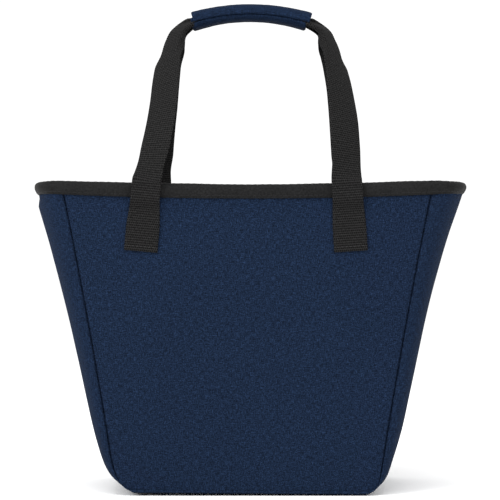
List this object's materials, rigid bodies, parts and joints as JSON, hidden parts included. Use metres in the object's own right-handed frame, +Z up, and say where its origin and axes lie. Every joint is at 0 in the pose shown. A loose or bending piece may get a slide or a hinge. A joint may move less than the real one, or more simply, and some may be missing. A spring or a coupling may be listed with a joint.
{
  "type": "insulated cooler tote bag",
  "caption": "Flared insulated tote with a bound rim, zipped padded lid, foil lining and two webbing handles gathered in a padded hook-and-loop grip wrap.",
  "frame": {"origin": "centre of the base, on the floor it stands on", "axes": "+Z up from the base to the grip, +X along the long rim to the wearer's right seen from the front, front panel towards -Y"},
  "size_m": [0.3386, 0.1516, 0.376],
  "materials": {
    "canvas": "fine woven navy canvas, matte",
    "foam": "soft white closed-cell foam",
    "foil_lining": "silver foil-faced film, satin",
    "board": "matte plastic sheet",
    "binding": "smooth black binding tape",
    "webbing": "ribbed black webbing",
    "zip_coil": "black nylon coil",
    "zip_tape": "black woven tape",
    "slider_metal": "black enamelled metal",
    "hook_and_loop": "black hook-and-loop tape",
    "lid_fabric": "fine woven navy canvas, matte"
  },
  "bodies": {
    "bag": {"front_panel": "canvas", "rear_panel": "canvas", "gusset": "canvas", "front_foam": "foam", "rear_foam": "foam", "gusset_foam": "foam", "front_lining": "foil_lining", "rear_lining": "foil_lining", "gusset_lining": "foil_lining", "base_board": "board", "rim_binding": "binding", "front_handle_tabs": "webbing", "rear_handle_tabs": "webbing", "front_handle_left_leg": "webbing", "front_handle_right_leg": "webbing", "rear_handle_left_leg": "webbing", "rear_handle_right_leg": "webbing", "lid_ends_cover": "lid_fabric", "lid_ends_foam": "foam", "lid_ends_lining": "foil_lining", "zip_end_tapes": "zip_tape", "zip_end_coils": "zip_coil", "zip_end_tabs": "zip_tape"},
    "lid_front": {"lid_front_cover": "lid_fabric", "lid_front_foam": "foam", "lid_front_lining": "foil_lining", "zip_tape_front": "zip_tape", "zip_coil_front": "zip_coil"},
    "lid_rear": {"lid_rear_cover": "lid_fabric", "lid_rear_foam": "foam", "lid_rear_lining": "foil_lining", "zip_tape_rear": "zip_tape", "zip_coil_rear": "zip_coil"},
    "slider": {"zip_slider": "slider_metal"},
    "puller": {"zip_puller": "slider_metal"},
    "grip": {"front_handle_grip_strap": "webbing", "rear_handle_grip_strap": "webbing", "wrap_cover": "canvas", "wrap_padding": "foam", "wrap_loop_strip": "hook_and_loop"},
    "wrap_flap": {"wrap_flap_cover": "canvas", "wrap_flap_padding": "foam", "wrap_hook_strip": "hook_and_loop"}
  },
  "joints": [
    {"name": "zip_slide", "type": "slide", "parent": "bag", "child": "slider", "axis": [1, 0, 0], "range_m": [-0.25, 0]},
    {"name": "puller_swing", "type": "hinge", "parent": "slider", "child": "puller", "pos_m": [0.125, 0, 0.22925], "axis": [0, -1, 0], "range_deg": [0, 175]},
    {"name": "lid_front_open", "type": "hinge", "parent": "bag", "child": "lid_front", "pos_m": [0, -0.06204, 0.225], "axis": [1, 0, 0], "range_deg": [0, 65]},
    {"name": "lid_rear_open", "type": "hinge", "parent": "bag", "child": "lid_rear", "pos_m": [0, 0.06204, 0.225], "axis": [-1, 0, 0], "range_deg": [0, 65]},
    {"name": "grip_swing", "type": "hinge", "parent": "bag", "child": "grip", "pos_m": [0, 0, 0.232], "axis": [1, 0, 0], "range_deg": [-35, 35], "deforming": ["front_handle_left_leg", "front_handle_right_leg", "rear_handle_left_leg", "rear_handle_right_leg"]},
    {"name": "wrap_flap_open", "type": "hinge", "parent": "grip", "child": "wrap_flap", "pos_m": [0, 0.00942, 0.37422], "axis": [-1, 0, 0], "range_deg": [0, 110]}
  ]
}
